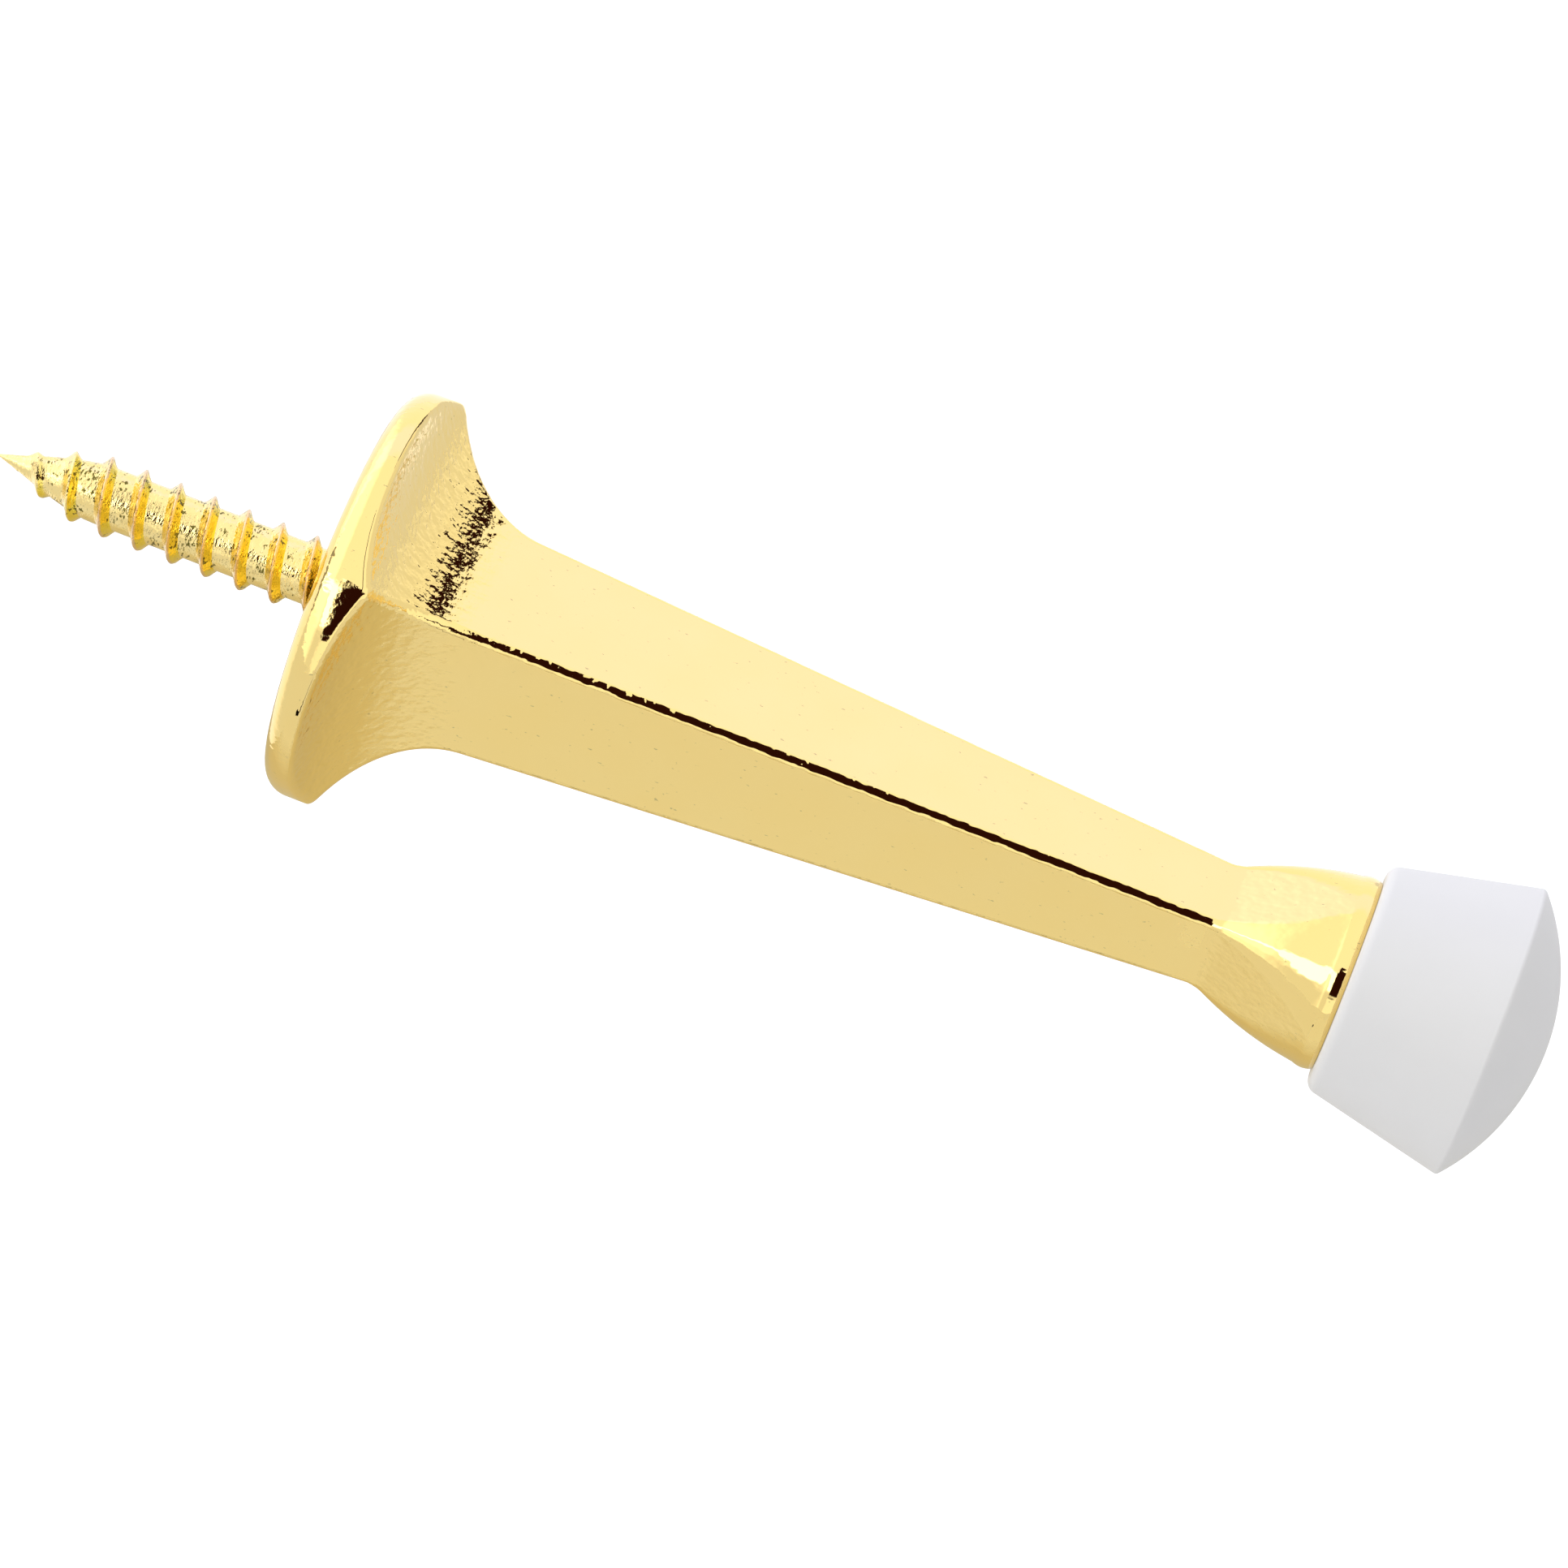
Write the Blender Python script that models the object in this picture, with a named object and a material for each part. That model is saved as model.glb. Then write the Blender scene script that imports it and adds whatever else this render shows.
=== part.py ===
"""Rigid door stop: a plated cast post on a wood screw, with a push-on rubber tip.

+X points from the wall to the tip and +Z is up. The origin is the centre of the post's flat
back face, which rests on the wall, and the wood screw reaches into the wall, towards -X.
The four flats of the post's square taper face +Y, -Y, +Z and -Z.
"""

from math import ceil, cos, floor, pi, radians, sin, sqrt, tan

import bmesh
import bpy
import numpy as np
from mathutils import Vector

MM = 0.001
QUARTER_TURN = pi / 2

# Overall sizes
PROJECTION = 76.2 * MM  # wall to the front of the rubber tip
TIP_LENGTH = 12.4 * MM
SCREW_REACH = 21.9 * MM  # screw that stands out behind the base
SEAT_GAP = 0.1 * MM  # clearance between pieces that touch
POST_LENGTH = PROJECTION - TIP_LENGTH

# Round base, which trims the square flare
BASE_RADIUS = 12.7 * MM
BASE_EDGE_RADIUS = 1.6 * MM
RIM_LENGTH = 1.95 * MM  # where the flare's arc turns square to the axis
FLARE_RADIUS = 8.8 * MM
FLARE_HALF_SIDE = 15.0 * MM  # past the base's radius, so that the trim meets the arc

# Square taper
HALF_SIDE_AT_WALL = 5.35 * MM  # half side if the taper ran on to the wall
TAPER_SLOPE = 0.046  # half side lost for each unit of length
CORNER_RADIUS = 0.6 * MM

# Flare from the neck to the round end, where the corners' radius grows to the whole half side
NECK_X = 55.6 * MM
NECK_RADIUS = 4.2 * MM
END_RADIUS = 6.07 * MM
END_EDGE_RADIUS = 0.7 * MM
END_FLAT = 0.03 * MM  # half width of the flats that are left at the round end

# Boss under the tip, and the hole for the screw's shank
BOSS_RADIUS = 2.5 * MM
BOSS_LENGTH = 5.7 * MM
BOSS_ROOT = 2.0 * MM  # boss form that reaches back into the post
BOSS_LEAD = 0.6 * MM  # chamfer at the boss's front
RIB_HEIGHT = 0.3 * MM
RIB_LENGTH = 0.8 * MM
RIB_OFFSETS = (1.6 * MM, 3.6 * MM)  # rib centres, from the post's end face
THREAD_ENTRY = 1.2 * MM  # thread that runs into the wide mouth of the screw's hole
SHANK_DEPTH = 12.0 * MM

# Wood screw, with a right-hand thread
PITCH = 2.18 * MM
ROOT_RADIUS = 1.78 * MM
THREAD_HEIGHT = 0.58 * MM
CREST_X = -2.46 * MM  # place of a crest on the screw's +Y side
# The thread's profile: places either side of the crest, in pitches, and the height share there
THREAD_PLACES = (-0.21, -0.025, 0.025, 0.21)
THREAD_SHARES = (0.0, 1.0, 1.0, 0.0)
# Root radius near the gimlet point, by distance from its tip
POINT_DISTANCES = (0.0, 2.0 * MM, 3.3 * MM, 4.9 * MM, 6.4 * MM)
POINT_RADII = (0.0, 0.62 * MM, 1.08 * MM, 1.5 * MM, ROOT_RADIUS)
THREAD_START = 1.4 * MM  # distance from the tip where the thread begins
THREAD_FULL = 6.0 * MM  # distance from the tip where it has its full height

# Rubber tip: a cone that widens towards a shallow dome
TIP_BACK_RADIUS = 6.96 * MM
TIP_BACK_ROUNDING = 0.8 * MM
TIP_RIM_RADIUS = 9.0 * MM
TIP_RIM_ROUNDING = 0.3 * MM
DOME_HEIGHT = 3.4 * MM
SOCKET_DEPTH = 6.1 * MM

# Facets
CORNER_STEPS = 8
BASE_FACETS = 64
SMALL_FACETS = 24
FLARE_STEPS = 12
EDGE_STEPS = 4
DOME_STEPS = 8
MERGE_DISTANCE = 0.001 * MM


def clear_scene():
    for item in list(bpy.data.objects):
        bpy.data.objects.remove(item, do_unlink=True)


def plain_material(name, color, metallic, roughness):
    """A Principled material with one colour and finish."""
    material = bpy.data.materials.new(name)
    material.use_nodes = True
    shader = material.node_tree.nodes["Principled BSDF"]
    shader.inputs["Base Color"].default_value = (*color, 1.0)
    shader.inputs["Metallic"].default_value = metallic
    shader.inputs["Roughness"].default_value = roughness
    return material


def object_from(mesh, name, material=None):
    """Turn a closed bmesh into a named object whose faces point out, smooth between edges."""
    bmesh.ops.remove_doubles(mesh, verts=mesh.verts, dist=MERGE_DISTANCE)
    bmesh.ops.recalc_face_normals(mesh, faces=mesh.faces)
    data = bpy.data.meshes.new(name)
    mesh.to_mesh(data)
    mesh.free()
    data.shade_smooth()
    data.set_sharp_from_angle(angle=radians(30))
    if material:
        data.materials.append(material)
    item = bpy.data.objects.new(name, data)
    bpy.context.scene.collection.objects.link(item)
    return item


def rounded(corners):
    """Points of an outline whose corners (x, r, rounding, steps) are rounded by arcs."""
    points = [Vector(corner[:2]) for corner in corners]
    outline = []
    for index, (_, _, rounding, steps) in enumerate(corners):
        corner = points[index]
        if not steps:
            outline.append(corner)
            continue
        back = (points[index - 1] - corner).normalized()
        ahead = (points[index + 1] - corner).normalized()
        half_angle = back.angle(ahead) / 2
        centre = corner + (back + ahead).normalized() * (rounding / sin(half_angle))
        reach = rounding / tan(half_angle)
        start = (corner + back * reach - centre).normalized()
        end = (corner + ahead * reach - centre).normalized()
        for step in range(steps + 1):
            outline.append(centre + start.slerp(end, step / steps) * rounding)
    return outline


def turned(name, outline, facets, material=None):
    """A solid turned about X from an outline of (x, radius) points that ends on the axis."""
    mesh = bmesh.new()
    points = [mesh.verts.new((x, 0.0, radius)) for x, radius in outline]
    edges = [mesh.edges.new(pair) for pair in zip(points, points[1:])]
    bmesh.ops.spin(
        mesh,
        geom=points + edges,
        axis=(1.0, 0.0, 0.0),
        cent=(0.0, 0.0, 0.0),
        angle=2 * pi,
        steps=facets,
    )
    return object_from(mesh, name, material)


def skin(mesh, near, far):
    """Quads between two rows of equally many points."""
    for index in range(len(near) - 1):
        mesh.faces.new((near[index], near[index + 1], far[index + 1], far[index]))


def taper_half_side(x):
    return HALF_SIDE_AT_WALL - TAPER_SLOPE * x


def post_stations():
    """(x, half side, corner radius) of the post's sections from behind the base to the end."""
    outline = rounded(
        [
            (-BASE_EDGE_RADIUS, FLARE_HALF_SIDE, 0.0, 0),
            (RIM_LENGTH, FLARE_HALF_SIDE, 0.0, 0),
            (RIM_LENGTH, taper_half_side(RIM_LENGTH), FLARE_RADIUS, FLARE_STEPS),
            (NECK_X, taper_half_side(NECK_X), NECK_RADIUS, EDGE_STEPS),
            (POST_LENGTH, END_RADIUS, END_EDGE_RADIUS, EDGE_STEPS),
            (POST_LENGTH, BOSS_RADIUS, 0.0, 0),
        ]
    )
    flare_length = POST_LENGTH - END_EDGE_RADIUS - NECK_X
    stations = []
    for x, half_side in outline:
        growth = min(max((x - NECK_X) / flare_length, 0.0), 1.0)
        largest = half_side - END_FLAT
        stations.append((x, half_side, CORNER_RADIUS + growth * (largest - CORNER_RADIUS)))
    return stations


def rounded_square(x, half_side, corner_radius):
    """One section of the post across X: four corner arcs with the flats between them."""
    reach = sqrt(2) * (half_side - corner_radius)
    section = []
    for corner in range(4):
        middle = (corner + 0.5) * QUARTER_TURN
        for step in range(CORNER_STEPS + 1):
            angle = (corner + step / CORNER_STEPS) * QUARTER_TURN
            y = reach * cos(middle) + corner_radius * cos(angle)
            z = reach * sin(middle) + corner_radius * sin(angle)
            section.append((x, y, z))
    return section


def square_post(material):
    """The post as a loft of rounded squares, before its base is trimmed round."""
    mesh = bmesh.new()
    sections = [rounded_square(*station) for station in post_stations()]
    rings = [[mesh.verts.new(point) for point in section] for section in sections]
    for near, far in zip(rings, rings[1:]):
        skin(mesh, near + near[:1], far + far[:1])
    mesh.faces.new(rings[0])
    mesh.faces.new(rings[-1])
    return object_from(mesh, "post_casting", material)


def base_blank():
    """The turned envelope that trims the square flare to the round base."""
    front = POST_LENGTH + BASE_RADIUS
    corners = [
        (0.0, 0.0, 0.0, 0),
        (0.0, BASE_RADIUS, BASE_EDGE_RADIUS, EDGE_STEPS),
        (front, BASE_RADIUS, 0.0, 0),
        (front, 0.0, 0.0, 0),
    ]
    return turned("base_blank", rounded(corners), BASE_FACETS)


def boss_form():
    """The ribbed boss in front of the post's end face, with a root inside the post."""
    back = POST_LENGTH - BOSS_ROOT
    front = POST_LENGTH + BOSS_LENGTH
    outline = [(back, 0.0), (back, BOSS_RADIUS)]
    for offset in RIB_OFFSETS:
        middle = POST_LENGTH + offset
        outline.append((middle - RIB_LENGTH / 2, BOSS_RADIUS))
        outline.append((middle, BOSS_RADIUS + RIB_HEIGHT))
        outline.append((middle + RIB_LENGTH / 2, BOSS_RADIUS))
    outline.append((front - BOSS_LEAD, BOSS_RADIUS))
    outline.append((front, BOSS_RADIUS - BOSS_LEAD))
    outline.append((front, 0.0))
    return turned("boss_form", outline, SMALL_FACETS)


def screw_hole():
    """The blind hole in the base, with a mouth that clears the thread and a bore for the shank."""
    mouth_radius = ROOT_RADIUS + THREAD_HEIGHT + SEAT_GAP
    mouth_end = THREAD_ENTRY + SEAT_GAP
    bore_radius = ROOT_RADIUS + SEAT_GAP
    outline = [
        (-SHANK_DEPTH, 0.0),
        (-SHANK_DEPTH, mouth_radius),
        (mouth_end, mouth_radius),
        (mouth_end, bore_radius),
        (SHANK_DEPTH, bore_radius),
        (SHANK_DEPTH, 0.0),
    ]
    return turned("screw_hole", outline, SMALL_FACETS)


def cut(target, tool, operation):
    """Apply an exact Boolean to the target and keep the tool only as a hidden guide."""
    modifier = target.modifiers.new(f"{operation.lower()} {tool.name}", "BOOLEAN")
    modifier.operation = operation
    modifier.solver = "EXACT"
    modifier.object = tool
    tool.hide_render = True
    tool.display_type = "WIRE"


def post_casting(material):
    """The cast post: the square loft trimmed round, with the tip's boss and the screw's hole."""
    post = square_post(material)
    cut(post, base_blank(), "INTERSECT")
    cut(post, boss_form(), "UNION")
    cut(post, screw_hole(), "DIFFERENCE")
    return post


def screw_radius(x, share):
    """Radius of the screw at x, where the thread's profile has this share of its height."""
    distance = x + SCREW_REACH
    root = np.interp(distance, POINT_DISTANCES, POINT_RADII)
    growth = min(max((distance - THREAD_START) / (THREAD_FULL - THREAD_START), 0.0), 1.0)
    return root + THREAD_HEIGHT * sqrt(growth) * share


def wall_screw(material):
    """A right-hand wood screw: rows of points that follow the thread, then a plain shank."""
    row_count = len(THREAD_PLACES)
    first_turn = floor((-SCREW_REACH - CREST_X) / PITCH) - 1
    last_turn = ceil((THREAD_ENTRY - CREST_X) / PITCH) + 2
    mesh = bmesh.new()
    rows = []
    for turn in range(first_turn, last_turn):
        for place, share in zip(THREAD_PLACES, THREAD_SHARES):
            row = []
            for facet in range(SMALL_FACETS):
                around = facet / SMALL_FACETS
                x = CREST_X + (turn + place + around) * PITCH
                height_share = share if x < THREAD_ENTRY else 0.0
                x = min(max(x, -SCREW_REACH), THREAD_ENTRY)
                radius = screw_radius(x, height_share)
                angle = 2 * pi * around
                row.append(mesh.verts.new((x, radius * cos(angle), radius * sin(angle))))
            rows.append(row)
    # Each row's helix goes on where the row one turn later starts
    loops = [row + later[:1] for row, later in zip(rows, rows[row_count:])]
    for near, far in zip(loops, loops[1:]):
        skin(mesh, near, far)
    end_x = SHANK_DEPTH - SEAT_GAP
    end = [mesh.verts.new((end_x, point.co.y, point.co.z)) for point in loops[-1][:-1]]
    skin(mesh, loops[-1], end + end[:1])
    mesh.faces.new(end)
    return object_from(mesh, "wall_screw", material)


def rubber_tip(material):
    """The rubber tip, turned with the blind socket that grips the boss."""
    back = POST_LENGTH + SEAT_GAP
    socket_end = POST_LENGTH + SOCKET_DEPTH
    socket_radius = BOSS_RADIUS + RIB_HEIGHT + SEAT_GAP
    rim_x = PROJECTION - DOME_HEIGHT
    dome_radius = (TIP_RIM_RADIUS**2 + DOME_HEIGHT**2) / (2 * DOME_HEIGHT)
    rim_angle = pi - 2 * np.arctan2(TIP_RIM_RADIUS, DOME_HEIGHT)
    corners = [
        (socket_end, 0.0, 0.0, 0),
        (socket_end, socket_radius, 0.0, 0),
        (back, socket_radius, 0.0, 0),
        (back, TIP_BACK_RADIUS, TIP_BACK_ROUNDING, EDGE_STEPS),
        (rim_x, TIP_RIM_RADIUS, TIP_RIM_ROUNDING, EDGE_STEPS),
    ]
    for step in range(1, DOME_STEPS + 1):
        angle = rim_angle * (1 - step / DOME_STEPS)
        x = PROJECTION - dome_radius * (1 - cos(angle))
        corners.append((x, dome_radius * sin(angle), 0.0, 0))
    return turned("rubber_tip", rounded(corners), BASE_FACETS, material)


def main():
    clear_scene()
    post_casting(plain_material("plated brass", (0.86, 0.68, 0.27), 1.0, 0.12))
    wall_screw(plain_material("plated steel", (0.84, 0.62, 0.18), 1.0, 0.3))
    rubber_tip(plain_material("white rubber", (0.80, 0.80, 0.81), 0.0, 0.55))


main()
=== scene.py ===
"""Looks of the rigid door stop: a plated post on a wood screw, with a white rubber tip.

Every piece is a fine mesh that stands for its CAD solid, in the CAD's frame: metres, +X from the
wall to the tip, +Z up, with the origin at the centre of the post's back face.
"""

from math import asin, atan2, ceil, cos, floor, pi, radians, sin, sqrt, tan

import bmesh
import bpy
import numpy as np
from mathutils import Matrix, Vector


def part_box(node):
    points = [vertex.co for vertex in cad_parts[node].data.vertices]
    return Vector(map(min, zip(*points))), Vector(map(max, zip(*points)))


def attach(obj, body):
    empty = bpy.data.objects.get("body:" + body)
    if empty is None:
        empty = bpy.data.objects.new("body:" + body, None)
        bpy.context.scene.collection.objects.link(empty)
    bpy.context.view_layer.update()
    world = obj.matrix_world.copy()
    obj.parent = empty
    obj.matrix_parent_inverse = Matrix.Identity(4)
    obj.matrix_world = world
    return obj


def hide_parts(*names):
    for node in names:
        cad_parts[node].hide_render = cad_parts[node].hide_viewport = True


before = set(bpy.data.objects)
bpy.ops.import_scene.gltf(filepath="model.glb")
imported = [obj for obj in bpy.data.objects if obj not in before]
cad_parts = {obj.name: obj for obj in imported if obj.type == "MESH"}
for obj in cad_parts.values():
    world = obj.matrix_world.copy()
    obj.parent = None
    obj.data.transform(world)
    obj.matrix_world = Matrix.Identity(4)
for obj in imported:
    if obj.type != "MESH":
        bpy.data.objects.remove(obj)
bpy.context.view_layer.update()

MM = 0.001
QUARTER_TURN = pi / 2

_, post_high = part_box("post_casting")
screw_low, screw_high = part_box("wall_screw")
_, tip_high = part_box("rubber_tip")

# Base and flare
BASE_RADIUS = post_high.z
BASE_EDGE_RADIUS = 1.6 * MM
RIM_LENGTH = 1.95 * MM  # where the flare's arc turns square to the axis
RIM_EDGE = 0.3 * MM  # how far the rounding between band and flare reaches over the band
FLARE_EDGE = 0.6 * MM  # how far it reaches over the flare
FLARE_RADIUS = 8.8 * MM

# Square taper
HALF_SIDE_AT_WALL = 5.35 * MM
TAPER_SLOPE = 0.046
CORNER_RADIUS = 0.6 * MM

# Flare to the round end
NECK_X = 55.6 * MM
NECK_RADIUS = 2.5 * MM
END_RADIUS = 6.1 * MM  # where the flare's line and the end's line would cross
END_EDGE_RADIUS = 1.5 * MM
END_SLOPE = radians(25)  # how steeply the rounded end runs in where it meets the tip
END_FLAT = 0.03 * MM

# Boss under the tip
BOSS_RADIUS = 2.5 * MM
BOSS_LENGTH = 5.7 * MM
BOSS_LEAD = 0.6 * MM
RIB_HEIGHT = 0.3 * MM
RIB_LENGTH = 0.8 * MM
RIB_OFFSETS = (1.6 * MM, 3.6 * MM)
POST_LENGTH = post_high.x - BOSS_LENGTH

# Wood screw
SCREW_REACH = -screw_low.x
SHANK_END = screw_high.x
PITCH = 2.18 * MM
ROOT_RADIUS = 1.78 * MM
THREAD_HEIGHT = screw_high.z - ROOT_RADIUS
CREST_X = -2.46 * MM
THREAD_ENTRY = 1.2 * MM
POINT_DISTANCES = (0.0, 2.0 * MM, 3.3 * MM, 4.9 * MM, 6.4 * MM)
POINT_RADII = (0.0, 0.62 * MM, 1.08 * MM, 1.5 * MM, ROOT_RADIUS)
THREAD_START = 1.4 * MM
THREAD_FULL = 6.0 * MM
HOLE_GAP = 0.1 * MM
HOLE_DEPTH = SHANK_END + HOLE_GAP

# The thread's profile, in pitches from its crest
THREAD_HALF_WIDTH = 0.23
CREST_HALF_WIDTH = 0.02
VALLEY_PLACE = 0.34
FLANK_POWER = 1.25

# Rubber tip
TIP_BACK = POST_LENGTH + 0.02 * MM
TIP_BACK_RADIUS = 6.96 * MM
TIP_BACK_ROUNDING = 0.8 * MM
TIP_RIM_RADIUS = tip_high.z
TIP_RIM_ROUNDING = 0.3 * MM
DOME_HEIGHT = 3.4 * MM
DOME_FLAT_RADIUS = 0.05 * MM
SOCKET_DEPTH = 6.1 * MM
SOCKET_RADIUS = BOSS_RADIUS + RIB_HEIGHT + 0.1 * MM
SOCKET_ROUNDING = 0.2 * MM

# Fineness of the meshes
FILLET_STEPS = 16
FLAT_STEPS = 24
BASE_EDGE_STEPS = 14
RIM_STEPS = 6
FLARE_STEPS = 36
NECK_STEPS = 10
END_STEPS = 14
BODY_STEP = 0.6 * MM
SCREW_FACETS = 80
PROFILE_POINTS = 15
TIP_FACETS = 128
SOCKET_STEPS = 4
TIP_BACK_STEPS = 12
TIP_RIM_STEPS = 8
DOME_STEPS = 27
SAME_POINT = 1e-8
SHARP_EDGE = radians(32)


# ---------------------------------------------------------------- meshes


def rounded(corners):
    """Points of an outline whose corners (x, r, rounding, steps) are rounded by arcs."""
    points = [Vector(corner[:2]) for corner in corners]
    outline = []
    for index, (_, _, rounding, steps) in enumerate(corners):
        corner = points[index]
        if not steps:
            outline.append(tuple(corner))
            continue
        back = (points[index - 1] - corner).normalized()
        ahead = (points[index + 1] - corner).normalized()
        half_angle = back.angle(ahead) / 2
        centre = corner + (back + ahead).normalized() * (rounding / sin(half_angle))
        reach = rounding / tan(half_angle)
        start = (corner + back * reach - centre).normalized()
        end = (corner + ahead * reach - centre).normalized()
        for step in range(steps + 1):
            outline.append(tuple(centre + start.slerp(end, step / steps) * rounding))
    return outline


def weld(mesh):
    """Merge the points that coincide, which drops the faces that shrink to nothing between them."""
    work = bmesh.new()
    work.from_mesh(mesh)
    bmesh.ops.remove_doubles(work, verts=work.verts, dist=SAME_POINT)
    work.to_mesh(mesh)
    work.free()


def piece_from(name, points, faces, material):
    """A smooth-shaded object whose large faces set the shading of their edges."""
    mesh = bpy.data.meshes.new(name)
    mesh.from_pydata([tuple(point) for point in points], [], faces)
    weld(mesh)
    mesh.shade_smooth()
    mesh.set_sharp_from_angle(angle=SHARP_EDGE)
    mesh.materials.append(material)
    item = bpy.data.objects.new(name, mesh)
    bpy.context.scene.collection.objects.link(item)
    shading = item.modifiers.new("even shading", "WEIGHTED_NORMAL")
    shading.keep_sharp = True
    return item


def lofted(name, rows, material):
    """A closed piece through rows of points round the X axis, with a flat face at each end.

    Its faces look outward when the rows on its outside run along +X.
    """
    count = len(rows[0])
    points = np.concatenate(rows)
    faces = [tuple(range(count - 1, -1, -1))]
    for row in range(len(rows) - 1):
        near, far = row * count, (row + 1) * count
        for column in range(count):
            after = (column + 1) % count
            faces.append((near + column, near + after, far + after, far + column))
    faces.append(tuple(range(len(points) - count, len(points))))
    return piece_from(name, points, faces, material)


def ring(x, radius, around):
    """Points round the X axis along the unit (y, z) directions in around."""
    return np.column_stack([np.full(len(around), x), around * radius])


def post_columns():
    """For each column of the post: its place on a unit square, and the flat's or fillet's normal."""
    places, normals = [], []
    for corner in range(4):
        turn = Matrix.Rotation(corner * QUARTER_TURN, 2)
        for step in range(FILLET_STEPS + 1):
            angle = QUARTER_TURN * step / FILLET_STEPS
            places.append(turn @ Vector((1.0, 1.0)))
            normals.append(turn @ Vector((cos(angle), sin(angle))))
        for step in range(1, FLAT_STEPS):
            places.append(turn @ Vector((cos(pi * step / FLAT_STEPS), 1.0)))
            normals.append(turn @ Vector((0.0, 1.0)))
    return np.array(places), np.array(normals)


def post_row(x, half_side, corner_radius, columns):
    """One row of the square post. x and half_side may differ from column to column."""
    places, normals = columns
    count = len(places)
    sides = np.broadcast_to(half_side, count)[:, None]
    flat = places * sides + corner_radius * (normals - places)
    return np.column_stack([np.broadcast_to(x, count), flat])


def taper_half_side(x):
    return HALF_SIDE_AT_WALL - TAPER_SLOPE * x


def flare_point(turn):
    """(x, half side) on the flare's arc, whose turn grows from the rim to the taper."""
    centre_x = RIM_LENGTH + FLARE_RADIUS
    centre_h = taper_half_side(centre_x) + FLARE_RADIUS * sqrt(1 + TAPER_SLOPE**2)
    return centre_x - FLARE_RADIUS * np.cos(turn), centre_h - FLARE_RADIUS * np.sin(turn)


def rim_turns(columns):
    """The turn of the flare's arc, for each column, where the post reaches the base's radius."""
    places, normals = columns
    fillet = CORNER_RADIUS * (normals - places)
    # The half side there solves a quadratic, since |places * half side + fillet| is the radius
    a = (places**2).sum(1)
    b = 2 * (places * fillet).sum(1)
    c = (fillet**2).sum(1) - BASE_RADIUS**2
    half_side = (-b + np.sqrt(b**2 - 4 * a * c)) / (2 * a)
    highest = flare_point(0.0)[1]
    return np.arcsin((highest - half_side) / FLARE_RADIUS)


def base_rows(columns):
    """Rows from the bottom of the screw's hole, round the base's back edge, to the flare's end."""
    start = rim_turns(columns)
    edge = post_row(*flare_point(start), CORNER_RADIUS, columns)
    around = edge[:, 1:] / BASE_RADIUS
    mouth = ROOT_RADIUS + THREAD_HEIGHT + HOLE_GAP
    mouth_end = THREAD_ENTRY + HOLE_GAP
    outline = rounded(
        [
            (HOLE_DEPTH, ROOT_RADIUS + HOLE_GAP, 0.0, 0),
            (mouth_end, ROOT_RADIUS + HOLE_GAP, 0.0, 0),
            (mouth_end, mouth, 0.0, 0),
            (0.0, mouth, 0.0, 0),
            (0.0, BASE_RADIUS / 2, 0.0, 0),
            (0.0, BASE_RADIUS, BASE_EDGE_RADIUS, BASE_EDGE_STEPS),
            (2 * BASE_EDGE_RADIUS, BASE_RADIUS, 0.0, 0),
        ]
    )
    rows = [ring(x, radius, around) for x, radius in outline[:-1]]

    # The band's last row follows the edge, and a rounding leads from it to the flare
    band_end = edge - np.array([RIM_EDGE, 0.0, 0.0])
    rows.append((rows[-1] + band_end) / 2)
    arc_start = start + FLARE_EDGE / FLARE_RADIUS
    arc_end = QUARTER_TURN - np.arctan(TAPER_SLOPE)
    first = post_row(*flare_point(arc_start), CORNER_RADIUS, columns)
    for share in np.linspace(0.0, 1.0, RIM_STEPS + 1)[:-1]:
        near = band_end + (edge - band_end) * share
        far = edge + (first - edge) * share
        rows.append(near + (far - near) * share)
    for share in np.linspace(0.0, 1.0, FLARE_STEPS + 1):
        turn = arc_start + (arc_end - arc_start) * share
        rows.append(post_row(*flare_point(turn), CORNER_RADIUS, columns))
    return rows


def body_outline():
    """(x, half side) from the taper's start to the post's end, and the end flare's length."""
    taper_start = flare_point(QUARTER_TURN - np.arctan(TAPER_SLOPE))[0]
    start = (taper_start, taper_half_side(taper_start), 0.0, 0)
    neck = (NECK_X, taper_half_side(NECK_X), NECK_RADIUS, NECK_STEPS)
    flare_turn = atan2(END_RADIUS - taper_half_side(NECK_X), POST_LENGTH - NECK_X)
    reach = END_EDGE_RADIUS * tan((flare_turn + END_SLOPE) / 2)
    end_x = POST_LENGTH - reach * cos(END_SLOPE)
    end = (end_x, END_RADIUS, END_EDGE_RADIUS, END_STEPS)
    # A point on the end's line past the rounding, which gives the line's slope
    beyond = (POST_LENGTH + reach * cos(END_SLOPE), END_RADIUS - 2 * reach * sin(END_SLOPE), 0.0, 0)
    return rounded([start, neck, end, beyond])[:-1], end_x - reach - NECK_X


def body_rows(columns):
    """Rows of the taper, the neck, and the flare to the round end."""
    outline, flare_length = body_outline()
    stations = []
    for here, ahead in zip(outline, outline[1:]):
        here, ahead = np.array(here), np.array(ahead)
        pieces = max(1, round((ahead[0] - here[0]) / BODY_STEP))
        for share in np.arange(pieces) / pieces:
            stations.append(here + (ahead - here) * share)
    stations.append((POST_LENGTH, outline[-1][1]))
    rows = []
    for x, half_side in stations[1:]:
        growth = min(max((x - NECK_X) / flare_length, 0.0), 1.0)
        corner_radius = CORNER_RADIUS + growth * (half_side - END_FLAT - CORNER_RADIUS)
        rows.append(post_row(x, half_side, corner_radius, columns))
    return rows


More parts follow.
